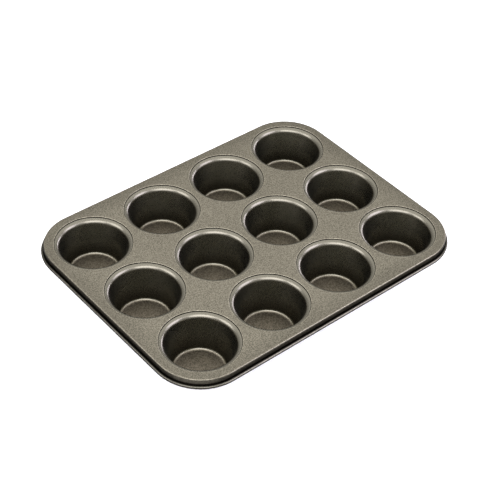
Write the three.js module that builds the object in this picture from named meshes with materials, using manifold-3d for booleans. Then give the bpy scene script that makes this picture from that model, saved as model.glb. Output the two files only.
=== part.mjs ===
// Twelve-cup muffin tin in coated sheet steel, three rows of four.
// Millimetres, +Z up. The origin is on the ground under the middle of the tray:
// the twelve cup bottoms rest on z = 0, the long side runs along X.
//
// Pieces: one deck (a pierced sheet whose edge is drawn down and curled round a
// wire), the rim wire inside that curl, and twelve drawn cups whose flanges lie
// against the underside of the deck around its holes.

import * as THREE from 'three';
import { mergeVertices } from 'three/addons/utils/BufferGeometryUtils.js';
import Module from 'manifold-3d';

const wasm = await Module();
wasm.setup();

// Driving dimensions, mm
const COLUMNS = 4;
const ROWS = 3;
const PITCH = 83;
const SHEET = 0.6;
const GAP = 0.3;
const DECK_TOP = 38;

const EDGE_MARGIN = 47.5;
const CORNER_RADIUS = 45.7;
const EDGE_BEND = 1.4;
const FLAT_LAP = 3;

const WIRE_RADIUS = 0.8;
const CURL_DROP = 8.3;
const CURL_END = 105;

const HOLE_RADIUS = 38.3;
const FLANGE_RADIUS = 40.9;
const LIP_CENTRE = 38;
const LIP_RADIUS = 5;
const WALL_DRAFT = 13.5;
const FLOOR_FILLET = 2.8;

const HOLE_SEGMENTS = 32;
const CUP_SEGMENTS = 32;
const CORNER_SEGMENTS = 8;
const LIP_STEPS = 3;
const FILLET_STEPS = 2;
const BEND_STEPS = 2;
const CURL_STEPS = 8;
const WIRE_SIDES = 8;

const COATING = { color: 0x6f675d, roughness: 0.45, metalness: 0.6 };
const CUP_COATING = { color: 0x5d564c, roughness: 0.4, metalness: 0.6 };
const BARE_STEEL = { color: 0x9b9a96, roughness: 0.35, metalness: 0.9 };

const radians = THREE.MathUtils.degToRad;

// Points on an arc around (cx, cy), from one angle to another in degrees.
function arc(cx, cy, radius, from, to, steps) {
  const points = [];
  for (let i = 0; i <= steps; i += 1) {
    const a = radians(from + ((to - from) * i) / steps);
    points.push(new THREE.Vector2(cx + radius * Math.cos(a), cy + radius * Math.sin(a)));
  }
  return points;
}

// Only the positions, with the vertices that faces share merged into one.
function weld(geometry) {
  const bare = geometry.clone();
  bare.deleteAttribute('normal');
  bare.deleteAttribute('uv');
  return mergeVertices(bare, 1e-4);
}

function toSolid(geometry) {
  const welded = weld(geometry);
  const triangles = [];
  const index = welded.index.array;
  for (let i = 0; i < index.length; i += 3) {
    const [a, b, c] = [index[i], index[i + 1], index[i + 2]];
    if (a !== b && b !== c && a !== c) {
      triangles.push(a, b, c);
    }
  }
  return new wasm.Manifold(new wasm.Mesh({
    numProp: 3,
    vertProperties: new Float32Array(welded.attributes.position.array),
    triVerts: new Uint32Array(triangles),
  }));
}

function toGeometry(solid) {
  const mesh = solid.getMesh();
  const geometry = new THREE.BufferGeometry();
  geometry.setAttribute('position', new THREE.BufferAttribute(mesh.vertProperties, 3));
  geometry.setIndex(new THREE.BufferAttribute(mesh.triVerts, 1));
  geometry.computeVertexNormals();
  return geometry;
}

function named(name, geometry, finish) {
  const mesh = new THREE.Mesh(geometry, new THREE.MeshStandardMaterial(finish));
  mesh.name = name;
  return mesh;
}

// Half sizes of the rectangle that joins the centres of the deck's four corners.
const cornerX = ((COLUMNS - 1) * PITCH) / 2 + EDGE_MARGIN - CORNER_RADIUS;
const cornerY = ((ROWS - 1) * PITCH) / 2 + EDGE_MARGIN - CORNER_RADIUS;

// The rounded rectangle as stations: a corner centre and a direction away from it.
// Neighbouring corners share a direction, so a straight side joins them.
function outlineStations() {
  const centres = [[1, 1], [-1, 1], [-1, -1], [1, -1]];
  const stations = [];
  centres.forEach(([sx, sy], quarter) => {
    for (let i = 0; i <= CORNER_SEGMENTS; i += 1) {
      const angle = radians(90 * (quarter + i / CORNER_SEGMENTS));
      stations.push({ x: sx * cornerX, y: sy * cornerY, angle });
    }
  });
  stations.push(stations[0]);
  return stations;
}

// A closed section carried round the rounded rectangle. The section's x counts
// outwards from the corner centres and its y is the height.
function aroundOutline(section) {
  const stations = outlineStations();
  const closed = [...section, section[0]];
  const geometry = new THREE.LatheGeometry(closed, stations.length - 1);
  const position = geometry.attributes.position;
  stations.forEach((station, i) => {
    closed.forEach((point, j) => {
      const x = station.x + point.x * Math.cos(station.angle);
      const y = station.y + point.x * Math.sin(station.angle);
      position.setXYZ(i * closed.length + j, x, y, point.y);
    });
  });
  return geometry;
}

// A lathe turned upright: the profile's x is the radius and its y is the height.
function turned(profile, segments) {
  const geometry = new THREE.LatheGeometry(profile, segments);
  geometry.rotateX(Math.PI / 2);
  return geometry;
}

// Edge of the deck: a flat lap, a bend down, a short skirt, and the curl that
// goes under the wire, up outside it and back over it, short of the skirt.
const curlInner = WIRE_RADIUS + GAP;
const curlOuter = curlInner + SHEET;
const curlX = CORNER_RADIUS + curlInner;
const curlZ = DECK_TOP - CURL_DROP;

function rimSection() {
  const bendX = CORNER_RADIUS - EDGE_BEND;
  const bendZ = DECK_TOP - EDGE_BEND;
  const lapX = bendX - FLAT_LAP;
  return [
    new THREE.Vector2(lapX, DECK_TOP - SHEET),
    ...arc(bendX, bendZ, EDGE_BEND - SHEET, 90, 0, BEND_STEPS),
    ...arc(curlX, curlZ, curlOuter, 180, 360 + CURL_END, CURL_STEPS),
    ...arc(curlX, curlZ, curlInner, 360 + CURL_END, 180, CURL_STEPS),
    ...arc(bendX, bendZ, EDGE_BEND, 0, 90, BEND_STEPS),
    new THREE.Vector2(lapX, DECK_TOP),
  ];
}

// The flat of the deck, pierced by one hole for each cup.
function piercedPlate() {
  const reach = CORNER_RADIUS - EDGE_BEND - FLAT_LAP / 2;
  const outline = outlineStations().slice(0, -1).map((station) => new THREE.Vector2(
    station.x + reach * Math.cos(station.angle),
    station.y + reach * Math.sin(station.angle),
  ));
  const shape = new THREE.Shape(outline);
  for (const { x, y } of cupCentres()) {
    const hole = arc(x, y, HOLE_RADIUS, 0, 360, HOLE_SEGMENTS).slice(0, -1);
    shape.holes.push(new THREE.Path(hole.reverse()));
  }
  const plate = new THREE.ExtrudeGeometry(shape, { depth: SHEET, bevelEnabled: false });
  plate.translate(0, 0, DECK_TOP - SHEET);
  return plate;
}

function cupCentres() {
  const centres = [];
  for (let row = 0; row < ROWS; row += 1) {
    for (let column = 0; column < COLUMNS; column += 1) {
      centres.push({
        row,
        column,
        x: (column - (COLUMNS - 1) / 2) * PITCH,
        y: (row - (ROWS - 1) / 2) * PITCH,
      });
    }
  }
  return centres;
}

// One drawn cup. The upper surface runs from the edge of the flange over the
// rolled lip, down the drafted wall and round the fillet to the middle of the
// floor. The under surface comes back one sheet thickness away.
function cupProfile() {
  const flangeTop = DECK_TOP - SHEET - GAP;
  const lipZ = flangeTop - LIP_RADIUS;
  const draft = radians(WALL_DRAFT);
  const wallTopX = LIP_CENTRE - LIP_RADIUS * Math.cos(draft);
  const wallTopZ = lipZ + LIP_RADIUS * Math.sin(draft);
  const filletZ = SHEET + FLOOR_FILLET;
  const wallEndZ = filletZ - FLOOR_FILLET * Math.sin(draft);
  const wallEndX = wallTopX - (wallTopZ - wallEndZ) * Math.tan(draft);
  const filletX = wallEndX - FLOOR_FILLET * Math.cos(draft);
  return [
    new THREE.Vector2(0, 0),
    ...arc(filletX, filletZ, FLOOR_FILLET + SHEET, -90, -WALL_DRAFT, FILLET_STEPS),
    ...arc(LIP_CENTRE, lipZ, LIP_RADIUS - SHEET, 180 - WALL_DRAFT, 90, LIP_STEPS),
    new THREE.Vector2(FLANGE_RADIUS, flangeTop - SHEET),
    new THREE.Vector2(FLANGE_RADIUS, flangeTop),
    ...arc(LIP_CENTRE, lipZ, LIP_RADIUS, 90, 180 - WALL_DRAFT, LIP_STEPS),
    ...arc(filletX, filletZ, FLOOR_FILLET, -WALL_DRAFT, -90, FILLET_STEPS),
    new THREE.Vector2(0, SHEET),
  ];
}

const tin = new THREE.Group();

const deckSolid = toSolid(aroundOutline(rimSection())).add(toSolid(piercedPlate()));
tin.add(named('deck', toGeometry(deckSolid), COATING));

// The wire ring inside the curl.
const wireSection = arc(curlX, curlZ, WIRE_RADIUS, 0, 360, WIRE_SIDES).slice(0, -1);
tin.add(named('rim_wire', weld(aroundOutline(wireSection)), BARE_STEEL));

// The twelve cups, each a body of its own, named by row and column.
for (const { row, column, x, y } of cupCentres()) {
  const cup = named(`cup_${row + 1}_${column + 1}`, turned(cupProfile(), CUP_SEGMENTS), CUP_COATING);
  cup.position.set(x, y, 0);
  tin.add(cup);
}

export default tin;
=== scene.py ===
# Looks for the twelve-cup muffin tin: finely shaped versions of its deck, rim wire
# and cups, in the CAD model's own frame, with coated-steel and wire materials.
# Section sizes below are in millimetres, like the CAD source. Meshes are in metres.
import bmesh
import bpy
import math
import random
from mathutils import Matrix, Vector


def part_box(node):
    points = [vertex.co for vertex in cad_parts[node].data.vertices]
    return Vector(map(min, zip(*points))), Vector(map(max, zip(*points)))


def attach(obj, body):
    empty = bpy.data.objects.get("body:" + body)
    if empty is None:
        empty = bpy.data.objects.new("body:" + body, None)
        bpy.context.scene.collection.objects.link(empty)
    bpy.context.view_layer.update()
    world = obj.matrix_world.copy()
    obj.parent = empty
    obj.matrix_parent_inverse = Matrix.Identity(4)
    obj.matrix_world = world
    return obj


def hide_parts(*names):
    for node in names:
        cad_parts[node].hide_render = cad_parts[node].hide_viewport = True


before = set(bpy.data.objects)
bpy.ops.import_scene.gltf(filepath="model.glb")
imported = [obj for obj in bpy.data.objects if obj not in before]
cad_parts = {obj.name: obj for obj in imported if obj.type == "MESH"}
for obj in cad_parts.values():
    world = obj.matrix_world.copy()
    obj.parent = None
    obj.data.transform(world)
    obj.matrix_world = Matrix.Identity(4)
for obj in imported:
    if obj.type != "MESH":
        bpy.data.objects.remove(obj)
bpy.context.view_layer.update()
scene = bpy.context.scene
MM = 0.001

# ---------------------------------------------------------------- sizes from the frame, mm
ROWS = 3
COLUMNS = 4
deck_low, deck_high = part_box("deck")
cup_low, cup_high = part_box("cup_1_1")
_, next_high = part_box("cup_1_2")
DECK_TOP = deck_high.z / MM
FLANGE_TOP = cup_high.z / MM
FLANGE_RADIUS = (cup_high.y - cup_low.y) / 2 / MM
PITCH = (next_high.x - cup_high.x) / MM
HALF_X = deck_high.x / MM
HALF_Y = deck_high.y / MM

# ---------------------------------------------------------------- section sizes, mm and degrees
SHEET = 0.6
CORNER_RADIUS = 45.7
EDGE_BEND = 1.4
WIRE_RADIUS = 0.8
WIRE_GAP = 0.3
CURL_END = 105.0
HOLE_RADIUS = 38.3
HOLE_ROUND = 0.25
LIP_CENTRE = 38.0
LIP_RADIUS = 5.0
WALL_DRAFT = 13.5
FLOOR_FILLET = 2.8

CURL_INNER = WIRE_RADIUS + WIRE_GAP
CURL_OUTER = CURL_INNER + SHEET
CURL_X = CORNER_RADIUS + CURL_INNER
CURL_Z = deck_low.z / MM + CURL_OUTER
RIM_REACH = CURL_X + CURL_OUTER
CORNER_X = HALF_X - RIM_REACH
CORNER_Y = HALF_Y - RIM_REACH
FLAT_REACH = CORNER_RADIUS - EDGE_BEND

# The pleats in the curl round each corner: how many, how deep at most, and the least share of
# that depth. On the curl's section they start at PUCKER_FROM and are full PUCKER_FADE later.
PUCKERS = 19
PUCKER_DEPTH = 0.16
PUCKER_LEAST = 0.35
PUCKER_SEED = 7
PUCKER_FROM = 200.0
PUCKER_FADE = 60.0

# ---------------------------------------------------------------- steps of the meshes
SIDE_STEPS = 32
END_STEPS = 16
CORNER_STEPS = 88
HOLE_STEPS = 3
BEND_STEPS = 8
BEND_UNDER_STEPS = 6
CURL_IN_STEPS = 22
CURL_OUT_STEPS = 26
TIP_STEPS = 6
WIRE_SIDES = 20
CUP_STEPS = 128
FILLET_STEPS = 8
LIP_STEPS = 10
LIP_UNDER_STEPS = 8
FLANGE_STEPS = 6

# Where rings of points cross a cup's wall and the flat round a hole, as shares of the way.
WALL_PARTS = (0.02, 0.35, 0.68, 0.98)
FLAT_PARTS = (1 / 3, 2 / 3, 1)

# In mm: how far an edge's supporting points stand from it, the tolerance of a comparison,
# and the distance at which points are merged.
SUPPORT = 0.4
SNAP = 0.01
WELD = 0.002

# ---------------------------------------------------------------- how light the coating is
# 1 is the coating's own colour, less is darker, more is lighter. Most levels below are painted shade
# and painted highlights; the lighter hole corner is partly wear and partly a painted highlight. The
# widths and depths that it changes over are in mm.
EDGE_SHADE = 0.8
EDGE_SHADE_WIDTH = 24.0
# Painted shade on the cut edge round each hole and on the cup flanges under it.
PAINTED_GAP_SHADE = 0.15
# A lighter rounded corner round each hole: partly wear, partly a painted highlight.
WEAR_AND_HIGHLIGHT_SHADE = 1.8
WEAR_AND_HIGHLIGHT_DEPTH = HOLE_ROUND * 0.9
# Painted shade on the skirt, and painted highlights and shade on the bend and the bead, by side and
# corner.
SKIRT_SHADE = 0.48
SKIRT_CORNER_SHADE = 1.0
BEAD_SHADE = 1.15
BEAD_END_SHADE = 0.68
BEAD_CORNER_SHADE = 0.85
BEND_SHADE = 1.08
BEND_END_SHADE = 0.92
BEND_CORNER_SHADE = 1.05

# The corners' own shades take over as the sine of the way round goes through this range.
CORNER_FROM = 0.4
CORNER_FADE = 0.5


def smooth(t):
    """Eases from 0 to 1 while t goes from 0 to 1."""
    t = min(1.0, max(0.0, t))
    return t * t * (3 - 2 * t)


def arc(cx, cz, radius, start, end, steps):
    """Points on an arc, angles in degrees."""
    out = []
    for i in range(steps + 1):
        a = math.radians(start + (end - start) * i / steps)
        out.append((cx + radius * math.cos(a), cz + radius * math.sin(a)))
    return out


def add_mesh(name, points, faces, material, painted_light_and_wear=None):
    """A closed, smooth-shaded mesh from points in mm. It rides on the one body and replaces its CAD
    node. The last argument gives how light the coating is at each point: mostly painted shade and
    painted highlights, partly wear and a darkening towards the edge."""
    mesh = bpy.data.meshes.new(name + "_mesh")
    mesh.from_pydata([(x * MM, y * MM, z * MM) for x, y, z in points], [], faces)
    if painted_light_and_wear:
        mesh.attributes.new("painted_light_and_wear", "FLOAT", "POINT").data.foreach_set("value", painted_light_and_wear)
    bm = bmesh.new()
    bm.from_mesh(mesh)
    bmesh.ops.remove_doubles(bm, verts=bm.verts, dist=WELD * MM)
    bmesh.ops.recalc_face_normals(bm, faces=bm.faces)
    for face in bm.faces:
        face.smooth = True
    bm.to_mesh(mesh)
    bm.free()
    mesh.materials.append(material)
    piece = bpy.data.objects.new(name + "_visual", mesh)
    scene.collection.objects.link(piece)
    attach(piece, "root")
    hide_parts(name)


def ring_faces(rings, length):
    """Quads between neighbouring rings of points, and between the last ring and the first."""
    faces = []
    for i in range(rings):
        a = i * length
        b = (i + 1) % rings * length
        for j in range(length - 1):
            faces.append((a + j, b + j, b + j + 1, a + j + 1))
    return faces


def cup_centre(column, row):
    """The middle of a cup, in mm. Columns count from 0 at the left and rows from 0 in front."""
    return (column - (COLUMNS - 1) / 2) * PITCH, (row - (ROWS - 1) / 2) * PITCH


# ---------------------------------------------------------------- deck
def side_points(start, end, steps):
    """Points from start to end on a straight line, at equal angles round (0, 0), without the last."""
    a0 = math.atan2(start[1], start[0])
    a1 = math.atan2(end[1], end[0])
    if a1 < a0:
        a1 += 2 * math.pi
    dx, dy = end[0] - start[0], end[1] - start[1]
    out = []
    for i in range(steps):
        a = a0 + (a1 - a0) * i / steps
        c, s = math.cos(a), math.sin(a)
        t = (start[1] * c - start[0] * s) / (dx * s - dy * c)
        out.append((start[0] + t * dx, start[1] + t * dy))
    return out


def cell_sides(column, row):
    """The outline of the deck's flat that belongs to one cup, anticlockwise round the
    cup's middle: a list of (points, is on the deck's edge, direction outwards or None for an arc)."""
    half = PITCH / 2
    x0, y0 = cup_centre(column, row)
    edge_x = CORNER_X + FLAT_REACH
    edge_y = CORNER_Y + FLAT_REACH
    right = edge_x - x0 if column == COLUMNS - 1 else half
    left = edge_x + x0 if column == 0 else half
    top = edge_y - y0 if row == ROWS - 1 else half
    bottom = edge_y + y0 if row == 0 else half
    outer = [column == COLUMNS - 1, row == ROWS - 1, column == 0, row == 0]
    corners = [(right, -bottom), (right, top), (-left, top), (-left, -bottom)]
    normals = [(1, 0), (0, 1), (-1, 0), (0, -1)]
    along = [(0, 1), (-1, 0), (0, -1), (1, 0)]
    sides = []
    for k in range(4):
        start, end = corners[k], corners[(k + 1) % 4]
        round_start = outer[k] and outer[k - 1]
        round_end = outer[k] and outer[(k + 1) % 4]
        tx, ty = along[k]
        if round_start:
            start = (start[0] + tx * FLAT_REACH, start[1] + ty * FLAT_REACH)
        if round_end:
            end = (end[0] - tx * FLAT_REACH, end[1] - ty * FLAT_REACH)
        steps = END_STEPS if round_start or round_end else SIDE_STEPS
        sides.append((side_points(start, end, steps), outer[k], normals[k]))
        if round_end:
            nx, ny = normals[k]
            cx, cy = end[0] - nx * FLAT_REACH, end[1] - ny * FLAT_REACH
            sides.append((arc(cx, cy, FLAT_REACH, 90 * k, 90 * k + 90, CORNER_STEPS)[:-1], True, None))
    return sides


def hole_section():
    """Edge of a hole, from the underside round to the top: (radius, height from the deck's top)."""
    r = HOLE_RADIUS + HOLE_ROUND
    return (
        [(r + SUPPORT, -SHEET)]
        + arc(r, -SHEET + HOLE_ROUND, HOLE_ROUND, 270, 180, HOLE_STEPS)
        + arc(r, -HOLE_ROUND, HOLE_ROUND, 180, 90, HOLE_STEPS)
        + [(r + SUPPORT, 0.0)]
    )


def edge_darkening(x, y):
    """The colour gets a little darker towards the outer edge of the deck."""
    out = math.hypot(max(abs(x) - CORNER_X, 0.0), max(abs(y) - CORNER_Y, 0.0))
    return EDGE_SHADE + (1.0 - EDGE_SHADE) * smooth((FLAT_REACH - out) / EDGE_SHADE_WIDTH)


def deck_shade_and_wear(x, y, radius, depth):
    """On the flat, a darkening towards the outer edge. Round a hole, the sheet's cut edge gets painted
    shade, and the rounded corner above it is lighter, partly as wear and partly as a painted
    highlight.
    """
    if radius > HOLE_RADIUS + HOLE_ROUND:
        return edge_darkening(x, y)
    return WEAR_AND_HIGHLIGHT_SHADE if depth < WEAR_AND_HIGHLIGHT_DEPTH else PAINTED_GAP_SHADE


def deck_cell(column, row, points, faces, painted_light_and_wear):
    """Adds the sheet round one cup, from its hole out to the cell's outline, top and underside."""
    x0, y0 = cup_centre(column, row)
    hole = hole_section()
    start = hole[-1][0]
    outline = [p for side, _, _ in cell_sides(column, row) for p in side]
    base = len(points)
    for px, py in outline:
        length = math.hypot(px, py)
        ux, uy = px / length, py / length
        last = length - SUPPORT
        spread = [start + (last - start) * f for f in FLAT_PARTS] + [length]
        section = [(r, -SHEET) for r in reversed(spread)] + hole + [(r, 0.0) for r in spread]
        for r, z in section:
            x, y = x0 + ux * r, y0 + uy * r
            points.append((x, y, DECK_TOP + z))
            painted_light_and_wear.append(deck_shade_and_wear(x, y, r, -z))
    faces += [tuple(base + v for v in f) for f in ring_faces(len(outline), len(section))]


def edge_stations():
    """Points on the outline of the deck's flat with the direction outwards and, on a
    corner, how far round it the point is. Anticlockwise round the whole deck."""
    ring = (
        [(COLUMNS - 1, r) for r in range(ROWS)]
        + [(c, ROWS - 1) for c in reversed(range(COLUMNS - 1))]
        + [(0, r) for r in reversed(range(ROWS - 1))]
        + [(c, 0) for c in range(1, COLUMNS - 1)]
    )
    stations = []
    for column, row in ring:
        x0, y0 = cup_centre(column, row)
        for side, on_edge, normal in cell_sides(column, row):
            if not on_edge:
                continue
            for i, (px, py) in enumerate(side):
                x, y = x0 + px, y0 + py
                if normal is None:
                    nx = (x - math.copysign(CORNER_X, x0)) / FLAT_REACH
                    ny = (y - math.copysign(CORNER_Y, y0)) / FLAT_REACH
                    stations.append((x, y, nx, ny, i / len(side)))
                else:
                    stations.append((x, y, normal[0], normal[1], None))
    return sorted(stations, key=lambda station: math.atan2(station[1], station[0]))


def curl_section(radius, start, end, steps):
    """One face of the curl, in the form that rim_section gives."""
    out = []
    for i, (x, z) in enumerate(arc(CURL_X, CURL_Z, radius, start, end, steps)):
        a = start + (end - start) * i / steps
        weight = min(1.0, max(0.0, (a - PUCKER_FROM) / PUCKER_FADE))
        out.append((x - FLAT_REACH, z, math.radians(a), weight))
    return out


def curl_tip():
    """The rounded edge of the sheet where the curl ends, without its first and last points."""
    a = math.radians(CURL_END)
    middle = (CURL_INNER + CURL_OUTER) / 2
    tip = []
    for k in range(1, TIP_STEPS):
        turn = math.pi * k / TIP_STEPS
        radius = middle - SHEET / 2 * math.cos(turn)
        past = SHEET / 2 * math.sin(turn)
        x = CURL_X + radius * math.cos(a) - past * math.sin(a)
        z = CURL_Z + radius * math.sin(a) + past * math.cos(a)
        tip.append((x - FLAT_REACH, z, a, 1.0))
    return tip


def rim_section():
    """Section of the drawn edge from the top of the flat round to its underside. Each
    point is (distance past the flat, height, direction on the curl, weight of the pleats)."""
    bend_z = DECK_TOP - EDGE_BEND
    inside = CORNER_RADIUS - SHEET

    def plain(pairs):
        return [(x - FLAT_REACH, z, 0.0, 0.0) for x, z in pairs]

    return (
        plain([(FLAT_REACH, DECK_TOP)])
        + plain(arc(FLAT_REACH, bend_z, EDGE_BEND, 90, 0, BEND_STEPS)[1:])
        + plain([(CORNER_RADIUS, bend_z - SUPPORT), (CORNER_RADIUS, CURL_Z + SUPPORT)])
        + curl_section(CURL_INNER, 180.0, 360.0 + CURL_END, CURL_IN_STEPS)
        + curl_tip()
        + curl_section(CURL_OUTER, 360.0 + CURL_END, 180.0, CURL_OUT_STEPS)
        + plain([(inside, CURL_Z + SUPPORT), (inside, bend_z - SUPPORT)])
        + plain(arc(FLAT_REACH, bend_z, EDGE_BEND - SHEET, 0, 90, BEND_UNDER_STEPS)[:-1])
        + plain([(FLAT_REACH, DECK_TOP - SHEET)])
    )


def pucker(t, depths):
    """How far the curl is drawn in at t round a corner: small pleats of uneven depth."""
    if t is None:
        return 0.0
    fade = math.sin(math.pi * t) ** 0.5
    place = t * PUCKERS
    wave = 0.5 - 0.5 * math.cos(2 * math.pi * place)
    return PUCKER_DEPTH * fade * wave * depths[int(place)]


def rim_painted_light(u, z, weight, t, ny):
    """Painted shade and painted highlights on the drawn edge. The skirt is darker along the sides than
    round the corners. The bend above it and the bead are lightest along the two long sides and darkest
    at the two ends."""
    turn = math.sin(math.pi * t) if t else 0.0
    corner = smooth((turn - CORNER_FROM) / CORNER_FADE)

    def shade(end, side, at_corner):
        along_sides = end + (side - end) * ny * ny
        return along_sides + (at_corner - along_sides) * corner

    if u <= 0.0:
        return EDGE_SHADE
    if z > DECK_TOP - EDGE_BEND:
        return shade(BEND_END_SHADE, BEND_SHADE, BEND_CORNER_SHADE)
    if weight > 0.0:
        return shade(BEAD_END_SHADE, BEAD_SHADE, BEAD_CORNER_SHADE)
    return shade(SKIRT_SHADE, SKIRT_SHADE, SKIRT_CORNER_SHADE)


def build_deck(material):
    """The pierced flat, one cell at a time, and the drawn and curled edge round it."""
    points, faces, painted_light_and_wear = [], [], []
    for row in range(ROWS):
        for column in range(COLUMNS):
            deck_cell(column, row, points, faces, painted_light_and_wear)
    section = rim_section()
    stations = edge_stations()
    rng = random.Random(PUCKER_SEED)
    depths = [rng.uniform(PUCKER_LEAST, 1.0) for _ in range(PUCKERS)]
    base = len(points)
    for x, y, nx, ny, t in stations:
        pull = pucker(t, depths)
        for u, z, a, weight in section:
            u -= pull * weight * math.cos(a)
            z -= pull * weight * math.sin(a)
            points.append((x + nx * u, y + ny * u, z))
            painted_light_and_wear.append(rim_painted_light(u, z, weight, t, ny))
    faces += [tuple(base + v for v in f) for f in ring_faces(len(stations), len(section))]
    add_mesh("deck", points, faces, material, painted_light_and_wear)


def build_wire(material):
    """The wire ring, with a plain round section, inside the curl."""
    section = arc(CURL_X - FLAT_REACH, CURL_Z, WIRE_RADIUS, 0, 360, WIRE_SIDES)
    stations = edge_stations()[::2]
    points = []
    for x, y, nx, ny, _ in stations:
        points += [(x + nx * u, y + ny * u, z) for u, z in section]
    add_mesh("rim_wire", points, ring_faces(len(stations), len(section)), material)


# ---------------------------------------------------------------- cups
def cup_section():
    """Upper surface from the middle of the floor out to the flange, then the underside back."""
    draft = math.radians(WALL_DRAFT)
    lip_z = FLANGE_TOP - LIP_RADIUS
    wall_x = LIP_CENTRE - LIP_RADIUS * math.cos(draft)
    wall_z = lip_z + LIP_RADIUS * math.sin(draft)
    fillet_z = SHEET + FLOOR_FILLET
    foot_z = fillet_z - FLOOR_FILLET * math.sin(draft)
    foot_x = wall_x - (wall_z - foot_z) * math.tan(draft)
    fillet_x = foot_x - FLOOR_FILLET * math.cos(draft)
    sheet_x = SHEET * math.cos(draft)
    sheet_z = SHEET * math.sin(draft)
    rim = SHEET / 2
    rim_x = FLANGE_RADIUS - rim

    def wall(ax, az, bx, bz):
        return [(ax + (bx - ax) * f, az + (bz - az) * f) for f in WALL_PARTS]

    upper = (
        [(0.0, SHEET), (fillet_x * 0.5, SHEET), (fillet_x - SUPPORT, SHEET)]
        + arc(fillet_x, fillet_z, FLOOR_FILLET, 270, 360 - WALL_DRAFT, FILLET_STEPS)
        + wall(foot_x, foot_z, wall_x, wall_z)
        + arc(LIP_CENTRE, lip_z, LIP_RADIUS, 180 - WALL_DRAFT, 90, LIP_STEPS)
        + [(LIP_CENTRE + SUPPORT, FLANGE_TOP), (rim_x - SUPPORT, FLANGE_TOP)]
        + arc(rim_x, FLANGE_TOP - rim, rim, 90, -90, FLANGE_STEPS)
    )
    under = (
        [(rim_x - SUPPORT, FLANGE_TOP - SHEET), (LIP_CENTRE + SUPPORT, FLANGE_TOP - SHEET)]
        + arc(LIP_CENTRE, lip_z, LIP_RADIUS - SHEET, 90, 180 - WALL_DRAFT, LIP_UNDER_STEPS)
        + wall(wall_x + sheet_x, wall_z - sheet_z, foot_x + sheet_x, foot_z - sheet_z)
        + arc(fillet_x, fillet_z, FLOOR_FILLET + SHEET, 360 - WALL_DRAFT, 270, FILLET_STEPS)
        + [(fillet_x - SUPPORT, 0.0), (fillet_x * 0.5, 0.0), (0.0, 0.0)]
    )
    return upper + under


def build_cup(column, row, material):
    """One cup, turned round its middle. Its flange gets the painted shade of the gap under the deck's
    hole edge.
    """
    x0, y0 = cup_centre(column, row)
    section = cup_section()
    points = []
    for i in range(CUP_STEPS):
        a = 2 * math.pi * i / CUP_STEPS
        points += [(x0 + r * math.cos(a), y0 + r * math.sin(a), z) for r, z in section]
    painted_light_and_wear = [PAINTED_GAP_SHADE if r > LIP_CENTRE - SNAP else 1.0 for r, z in section] * CUP_STEPS
    faces = ring_faces(CUP_STEPS, len(section))
    add_mesh(f"cup_{row + 1}_{column + 1}", points, faces, material, painted_light_and_wear)


# ---------------------------------------------------------------- materials
# Each coating's colour runs between a dark and a light flake. Noise scales are per metre,
# and the depths of the relief are in metres.
DECK_DARK = (0.107, 0.097, 0.0755)
DECK_LIGHT = (0.217, 0.1975, 0.1535)
DECK_ROUGHNESS = 0.27
DECK_RELIEF = 0.3
CUP_DARK = (0.1, 0.094, 0.074)
CUP_LIGHT = (0.208, 0.194, 0.153)
CUP_WALL = (0.154, 0.144, 0.1135)
CUP_ROUGHNESS = 0.24
CUP_RELIEF = 0.06
WALL_SPECKLE = 0.15
FLOOR_EXTRA_ROUGHNESS = 0.18
PLAIN_TINT = (1.0, 1.0, 1.0)
# Painted highlight tint on the bead's crown.
BEAD_HIGHLIGHT_TINT = (0.985, 1.01, 1.06)
WALL_TINT = (0.995, 1.01, 1.0)
LIP_TINT = (1.003, 0.998, 1.018)
FLOOR_TINT = (0.94, 0.875, 0.85)
CLOUD_DARK = (0.96, 0.96, 0.96)
CLOUD_LIGHT = (1.03, 1.03, 1.03)
WIRE_DARK = (0.42, 0.41, 0.39)
WIRE_LIGHT = (0.56, 0.55, 0.53)
WIRE_RELIEF = 0.3
FLAKE_SCALE = 900.0
CLOUD_SCALE = 28.0
BLOOM_SCALE = 180.0
DRAWN_SCALE = 1600.0
FLAKE_DEPTH = 0.00005
DRAWN_DEPTH = 0.00003
GRAZING_TINT = (0.5, 0.5, 0.5, 1.0)
WHITE = (1.0, 1.0, 1.0, 1.0)


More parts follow.
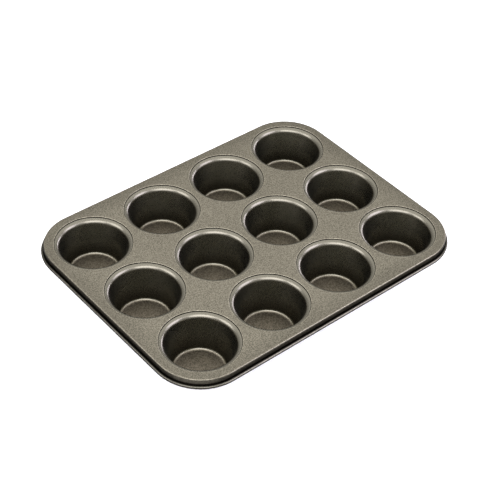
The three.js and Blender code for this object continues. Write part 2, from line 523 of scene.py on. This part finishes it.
class Nodes:
    """Short calls for building one material's node tree."""

    def __init__(self, name):
        self.material = bpy.data.materials.new(name)
        self.material.use_nodes = True
        self.tree = self.material.node_tree
        self.shader = self.tree.nodes["Principled BSDF"]
        self.place = self.add("ShaderNodeTexCoord").outputs["Object"]

    def add(self, kind, **values):
        node = self.tree.nodes.new(kind)
        for key, value in values.items():
            setattr(node, key, value)
        return node

    def link(self, a, b):
        self.tree.links.new(a, b)

    def put(self, name, value):
        """Sets one socket of the shader to a value that is the same all over."""
        self.shader.inputs[name].default_value = value

    def feed(self, name, output):
        """Links an output to one socket of the shader."""
        self.link(output, self.shader.inputs[name])

    def noise(self, scale, detail, rough):
        node = self.add("ShaderNodeTexNoise")
        node.inputs["Scale"].default_value = scale
        node.inputs["Detail"].default_value = detail
        node.inputs["Roughness"].default_value = rough
        self.link(self.place, node.inputs["Vector"])
        return node.outputs["Fac"]

    def band(self, value, low, high, out_low=0.0, out_high=1.0):
        """Eases from out_low to out_high while the value goes from low to high."""
        node = self.add("ShaderNodeMapRange", interpolation_type="SMOOTHSTEP")
        node.inputs["From Min"].default_value = low
        node.inputs["From Max"].default_value = high
        node.inputs["To Min"].default_value = out_low
        node.inputs["To Max"].default_value = out_high
        self.link(value, node.inputs["Value"])
        return node.outputs["Result"]

    def mix(self, factor, a, b, blend="MIX"):
        node = self.add("ShaderNodeMix", data_type="RGBA", blend_type=blend)
        if isinstance(factor, float):
            node.inputs[0].default_value = factor
        else:
            self.link(factor, node.inputs[0])
        for socket, value in ((node.inputs[6], a), (node.inputs[7], b)):
            if isinstance(value, tuple):
                socket.default_value = (*value, 1.0)
            else:
                self.link(value, socket)
        return node.outputs[2]

    def multiply(self, first, *others):
        """The product of colours or grey levels."""
        product = first
        for other in others:
            product = self.mix(1.0, product, other, "MULTIPLY")
        return product

    def maths(self, operation, a, b):
        node = self.add("ShaderNodeMath", operation=operation)
        for socket, value in ((node.inputs[0], a), (node.inputs[1], b)):
            if isinstance(value, float):
                socket.default_value = value
            else:
                self.link(value, socket)
        return node.outputs[0]

    def height(self):
        node = self.add("ShaderNodeSeparateXYZ")
        self.link(self.place, node.inputs[0])
        return node.outputs["Z"]

    def height_band(self, low, high, out_low=0.0, out_high=1.0):
        """band of the height, with low and high in mm."""
        return self.band(self.height(), low * MM, high * MM, out_low, out_high)

    # The painted shade, painted highlights, edge darkening and wear that each mesh point carries.
    def painted_light_and_wear(self):
        return self.add("ShaderNodeAttribute", attribute_name="painted_light_and_wear").outputs["Fac"]

    def ramp(self, low, high, stops):
        """Grey levels by height. The stops' heights are in mm, between low and high in metres."""
        node = self.add("ShaderNodeValToRGB")
        elements = node.color_ramp.elements
        elements.remove(elements[1])
        for i, (z, level) in enumerate(stops):
            spot = min(1.0, max(0.0, (z * MM - low) / (high - low)))
            element = elements.new(spot) if i else elements[0]
            element.position = spot
            element.color = (level, level, level, 1.0)
        scaled = self.add("ShaderNodeMapRange")
        scaled.inputs["From Min"].default_value = low
        scaled.inputs["From Max"].default_value = high
        self.link(self.height(), scaled.inputs["Value"])
        self.link(scaled.outputs["Result"], node.inputs["Fac"])
        return node.outputs["Color"]

    def bump(self, height, strength, distance):
        node = self.add("ShaderNodeBump")
        node.inputs["Strength"].default_value = strength
        node.inputs["Distance"].default_value = distance
        self.link(height, node.inputs["Height"])
        self.feed("Normal", node.outputs["Normal"])


def coated_steel(name, dark, light, rough, relief):
    """Satin non-stick coating: fine metallic flake over a slightly uneven coat. Returns the nodes, the
    colour and the roughness, so that each piece can vary them further."""
    n = Nodes(name)
    flake = n.band(n.noise(FLAKE_SCALE, detail=2.0, rough=0.6), 0.38, 0.62)
    cloud = n.band(n.noise(CLOUD_SCALE, detail=3.0, rough=0.5), 0.3, 0.7)
    colour = n.multiply(n.mix(flake, dark, light), n.mix(cloud, CLOUD_DARK, CLOUD_LIGHT))
    grain = n.noise(FLAKE_SCALE, detail=3.0, rough=0.6)
    spread = n.maths("ADD", n.band(grain, 0.3, 0.7, 0.0, 0.05), n.band(cloud, 0.0, 1.0, 0.0, 0.03))
    n.bump(grain, relief, FLAKE_DEPTH)
    n.put("Metallic", 1.0)
    n.put("Specular Tint", GRAZING_TINT)
    return n, colour, n.maths("ADD", spread, rough)


def deck_coating():
    """The coating of the deck, with painted shade under the bead, in the groove behind it and on the
    skirt, and a painted highlight, a little bluer, on the bead's crown."""
    n, colour, rough = coated_steel("deck_coating", DECK_DARK, DECK_LIGHT, DECK_ROUGHNESS, DECK_RELIEF)
    painted_rim_shading = n.ramp(deck_low.z, deck_high.z, [
        # Under the bead: painted shade
        (0.0, 0.1),
        (CURL_Z + 0.6, 0.1),
        # The bead's crown: a painted highlight
        (CURL_Z + 1.0, 0.6),
        (CURL_Z + 1.4, 0.7),
        (CURL_Z + 1.6, 0.3),
        # The groove behind the bead and the skirt: painted shade
        (CURL_Z + 1.8, 0.18),
        (DECK_TOP - 5.4, 0.18),
        (DECK_TOP - 4.6, 0.24),
        (DECK_TOP - 0.65, 0.24),
        # The bend and the flat
        (DECK_TOP - 0.42, 0.6),
        (DECK_TOP - 0.2, 1.0),
    ])
    bead_highlight_mask = n.height_band(CURL_Z + 1.6, CURL_Z + 2.0, 1.0, 0.0)
    tint = n.mix(bead_highlight_mask, PLAIN_TINT, BEAD_HIGHLIGHT_TINT)
    n.feed("Base Color", n.multiply(colour, n.painted_light_and_wear(), tint, painted_rim_shading))
    n.feed("Roughness", rough)
    return n.material


def cup_coating():
    """The coating of the cups: speckled on the floor, drawn smooth on the wall and the lip. Painted
    shade darkens the wall towards its foot, and painted highlights lighten the fillet and the upper
    wall."""
    n, speckled, rough = coated_steel("cup_coating", CUP_DARK, CUP_LIGHT, CUP_ROUGHNESS, CUP_RELIEF)
    floor = n.height_band(SHEET + 0.1, SHEET + 1.2, 1.0, 0.0)
    lip = n.height_band(FLANGE_TOP - 5.0, FLANGE_TOP - 3.0)
    colour = n.mix(n.maths("MAXIMUM", floor, WALL_SPECKLE), CUP_WALL, speckled)
    tint = n.mix(floor, n.mix(lip, WALL_TINT, LIP_TINT), FLOOR_TINT)
    painted_wall_shading = n.ramp(cup_low.z, cup_high.z, [
        # The floor and its fillet, with a painted highlight on the fillet
        (SHEET + 0.1, 0.87),
        (SHEET + 0.7, 1.08),
        (SHEET + FLOOR_FILLET * 0.6, 1.05),
        (SHEET + FLOOR_FILLET * 0.95, 0.36),
        # The wall and the lip: painted shade low on the wall, a painted highlight higher up
        (SHEET + 6.0, 0.48),
        (SHEET + 14.0, 1.06),
        (SHEET + 24.0, 1.2),
        (FLANGE_TOP - 3.0, 1.0),
    ])
    n.feed("Base Color", n.multiply(colour, n.painted_light_and_wear(), painted_wall_shading, tint))
    n.feed("Roughness", n.maths("ADD", rough, n.maths("MULTIPLY", floor, FLOOR_EXTRA_ROUGHNESS)))
    return n.material


def drawn_wire():
    """Bare drawn steel wire with a fine grain and a slight grey bloom."""
    n = Nodes("wire_steel")
    bloom = n.band(n.noise(BLOOM_SCALE, detail=3.0, rough=0.6), 0.35, 0.7)
    n.feed("Base Color", n.mix(bloom, WIRE_DARK, WIRE_LIGHT))
    n.feed("Roughness", n.band(bloom, 0.0, 1.0, 0.28, 0.45))
    n.bump(n.noise(DRAWN_SCALE, detail=2.0, rough=0.5), WIRE_RELIEF, DRAWN_DEPTH)
    n.put("Metallic", 1.0)
    return n.material


deck_coat = deck_coating()
cup_coat = cup_coating()
wire_steel = drawn_wire()

build_deck(deck_coat)
build_wire(wire_steel)
for cup_row in range(ROWS):
    for cup_column in range(COLUMNS):
        build_cup(cup_column, cup_row, cup_coat)


# ---------------------------------------------------------------- floor, light and camera
# Lengths are in metres and angles in degrees. Azimuth 0 is in front of the tin, 90 at its right.
GROUND_REACH = 6.0
GROUND_DARK = (0.9, 0.9, 0.9)
GROUND_LIGHT = (0.92, 0.92, 0.92)
GROUND_ROUGHNESS = 0.9
GROUND_SPECULAR = 0.1
GROUND_GLOW = 0.15
GROUND_TONE_SCALE = 3.0

# The room's light grows from the first value to the second between these two elevations.
HORIZON_LIGHT = 1.0
HORIZON_TO = 24.0
OVERHEAD_LIGHT = 2.1
OVERHEAD_FROM = 56.0

# Name, azimuth, elevation, distance, width, height, watts and colour.
SOFTBOXES = (
    ("left_box", -112.0, 34.0, 1.6, 1.0, 0.9, 12.0, (0.99, 0.99, 1.06)),
    ("right_box", 40.0, 32.0, 1.6, 1.1, 1.0, 15.0, (0.99, 0.96, 1.2)),
    ("low_box", 96.0, 10.0, 1.6, 0.9, 0.5, 9.0, (1.0, 0.97, 1.22)),
    ("front_box", -44.0, 40.0, 1.8, 1.8, 1.2, 29.0, (0.98, 0.98, 1.06)),
)

LENS_MM = 97.75
SENSOR_MM = 36.0
CAMERA_AZIMUTH = -42.31
CAMERA_ELEVATION = 41.96
CAMERA_ROLL = 3.5
CAMERA_DISTANCE = 1.314
CAMERA_TARGET = (-0.0107, -0.0167, DECK_TOP * MM)


def direction_to(azimuth, elevation):
    """The unit vector from the tin towards an azimuth and an elevation."""
    a, e = math.radians(azimuth), math.radians(elevation)
    return Vector((math.sin(a) * math.cos(e), -math.cos(a) * math.cos(e), math.sin(e)))


def pale_floor():
    """A plain, nearly white floor for the tin to stand on. It glows a little."""
    n = Nodes("pale_floor")
    tone = n.band(n.noise(GROUND_TONE_SCALE, detail=2.0, rough=0.5), 0.3, 0.7)
    n.feed("Base Color", n.mix(tone, GROUND_DARK, GROUND_LIGHT))
    n.put("Roughness", GROUND_ROUGHNESS)
    n.put("Specular IOR Level", GROUND_SPECULAR)
    n.put("Emission Color", WHITE)
    n.put("Emission Strength", GROUND_GLOW)
    r = GROUND_REACH
    mesh = bpy.data.meshes.new("floor_mesh")
    mesh.from_pydata([(-r, -r, 0), (r, -r, 0), (r, r, 0), (-r, r, 0)], [], [(0, 1, 2, 3)])
    mesh.materials.append(n.material)
    floor = bpy.data.objects.new("floor", mesh)
    scene.collection.objects.link(floor)


def softbox(name, azimuth, elevation, distance, width, height, power, colour):
    """A rectangular light that faces the tin."""
    away = direction_to(azimuth, elevation)
    data = bpy.data.lights.new(name, "AREA")
    data.shape = "RECTANGLE"
    data.size = width
    data.size_y = height
    data.energy = power
    data.color = colour
    light = bpy.data.objects.new(name, data)
    light.location = away * distance
    light.rotation_mode = "QUATERNION"
    light.rotation_quaternion = away.to_track_quat("Z", "Y")
    scene.collection.objects.link(light)


def studio():
    """A white room, brighter overhead than at the horizon, with four softboxes."""
    world = bpy.data.worlds.new("studio")
    world.use_nodes = True
    tree = world.node_tree
    background = tree.nodes["Background"]
    background.inputs["Color"].default_value = WHITE
    direction = tree.nodes.new("ShaderNodeTexCoord")
    parts = tree.nodes.new("ShaderNodeSeparateXYZ")
    strength = tree.nodes.new("ShaderNodeMapRange")
    strength.interpolation_type = "SMOOTHSTEP"
    strength.inputs["From Min"].default_value = math.sin(math.radians(HORIZON_TO))
    strength.inputs["From Max"].default_value = math.sin(math.radians(OVERHEAD_FROM))
    strength.inputs["To Min"].default_value = HORIZON_LIGHT
    strength.inputs["To Max"].default_value = OVERHEAD_LIGHT
    tree.links.new(direction.outputs["Generated"], parts.inputs[0])
    tree.links.new(parts.outputs["Z"], strength.inputs["Value"])
    tree.links.new(strength.outputs["Result"], background.inputs["Strength"])
    scene.world = world
    for settings in SOFTBOXES:
        softbox(*settings)


def camera():
    """The camera at the photo's viewing angle."""
    azimuth, roll = math.radians(CAMERA_AZIMUTH), math.radians(CAMERA_ROLL)
    back = direction_to(CAMERA_AZIMUTH, CAMERA_ELEVATION)
    right = Vector((math.cos(azimuth), math.sin(azimuth), 0.0))
    up = back.cross(right)
    turned_right = right * math.cos(roll) + up * math.sin(roll)
    turned_up = up * math.cos(roll) - right * math.sin(roll)
    data = bpy.data.cameras.new("camera")
    data.lens = LENS_MM
    data.sensor_width = SENSOR_MM
    cam = bpy.data.objects.new("camera", data)
    scene.collection.objects.link(cam)
    axes = Matrix((turned_right, turned_up, back)).transposed()
    place = Vector(CAMERA_TARGET) + back * CAMERA_DISTANCE
    cam.matrix_world = Matrix.Translation(place) @ axes.to_4x4()
    scene.camera = cam


pale_floor()
studio()
camera()
scene.view_settings.view_transform = "Standard"
